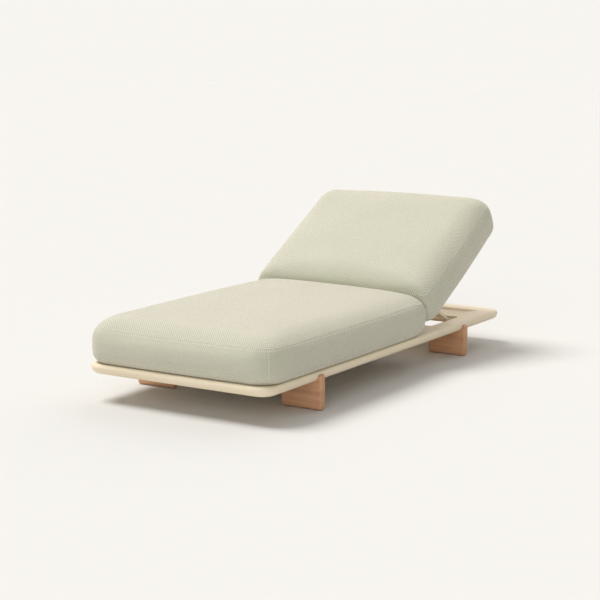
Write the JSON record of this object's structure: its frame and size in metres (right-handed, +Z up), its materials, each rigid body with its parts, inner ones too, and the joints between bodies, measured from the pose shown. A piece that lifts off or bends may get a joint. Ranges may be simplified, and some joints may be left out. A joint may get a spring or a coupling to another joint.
{
  "type": "spa relaxation lounger",
  "caption": "Low lounger: bullnose platform on panel feet, boxed seat cushion and a hinged, upholstered backrest held up by a prop frame standing in a window of the platform.",
  "frame": {"origin": "on the floor under the centre of the platform", "axes": "+X to the right seen from the foot end, +Y along the lounger towards the head end, +Z up"},
  "size_m": [0.929, 2.072, 0.7073],
  "materials": {
    "cream_lacquered_board": "satin cream lacquer over a smooth board, no open grain",
    "oiled_foot_wood": "oiled reddish-brown hardwood, grain along the foot's width",
    "woven_cover_fabric": "fine basket weave in pale sage and cream, soft sheen",
    "cushion_foam": "open-cell upholstery foam",
    "grip_rubber": "matt ribbed grip strip",
    "cream_painted_steel": "satin cream powder coat",
    "brushed_hinge_steel": "brushed stainless steel",
    "zinc_plated_screw": "zinc plated",
    "beam_wood": "sanded hardwood, unlacquered",
    "panel_plywood": "sanded birch plywood",
    "roller_nylon": "off-white nylon",
    "glide_plastic": "dark brown felt-faced plastic",
    "buffer_rubber": "black rubber",
    "insert_brass": "machined brass"
  },
  "bodies": {
    "base": {"platform": "cream_lacquered_board", "foot_front_right": "oiled_foot_wood", "foot_front_left": "oiled_foot_wood", "foot_rear_right": "oiled_foot_wood", "foot_rear_left": "oiled_foot_wood", "foot_studs": "zinc_plated_screw", "threaded_inserts": "insert_brass", "floor_glides": "glide_plastic", "cross_beam_front": "beam_wood", "cross_beam_middle": "beam_wood", "cross_beam_rear": "beam_wood", "cross_beam_screws": "zinc_plated_screw", "hinge_fixed_leaf_right": "brushed_hinge_steel", "hinge_fixed_leaf_left": "brushed_hinge_steel", "hinge_pin_right": "brushed_hinge_steel", "hinge_pin_left": "brushed_hinge_steel", "hinge_screws_platform": "zinc_plated_screw", "prop_rack_right": "cream_painted_steel", "prop_rack_left": "cream_painted_steel", "prop_rack_screws": "zinc_plated_screw", "backrest_buffers": "buffer_rubber", "seat_cushion_cover": "woven_cover_fabric", "seat_foam_core": "cushion_foam", "seat_grip_strips": "grip_rubber"},
    "backrest": {"hinge_moving_leaf_right": "brushed_hinge_steel", "hinge_moving_leaf_left": "brushed_hinge_steel", "hinge_screws_panel": "zinc_plated_screw", "prop_bracket_right": "brushed_hinge_steel", "prop_bracket_left": "brushed_hinge_steel", "prop_pivot_pin_right": "brushed_hinge_steel", "prop_pivot_pin_left": "brushed_hinge_steel", "prop_bracket_screws": "zinc_plated_screw", "backrest_panel": "panel_plywood", "back_cushion_cover": "woven_cover_fabric", "back_foam_core": "cushion_foam", "back_grip_strips": "grip_rubber"},
    "prop": {"prop_strut_right": "cream_painted_steel", "prop_strut_left": "cream_painted_steel", "prop_crossbar": "cream_painted_steel", "prop_roller_right": "roller_nylon", "prop_roller_left": "roller_nylon"}
  },
  "joints": [
    {"name": "backrest_recline", "type": "hinge", "parent": "base", "child": "backrest", "pos_m": [0, 0.272, 0.1679], "axis": [1, 0, 0], "range_deg": [-29.5, 0]},
    {"name": "prop_swing", "type": "hinge", "parent": "backrest", "child": "prop", "pos_m": [0, 0.46878, 0.25671], "axis": [1, 0, 0], "range_deg": [0, 59]}
  ],
  "couplings": [
    {"joint": "prop_swing", "follows": "backrest_recline", "ratio": -2}
  ]
}
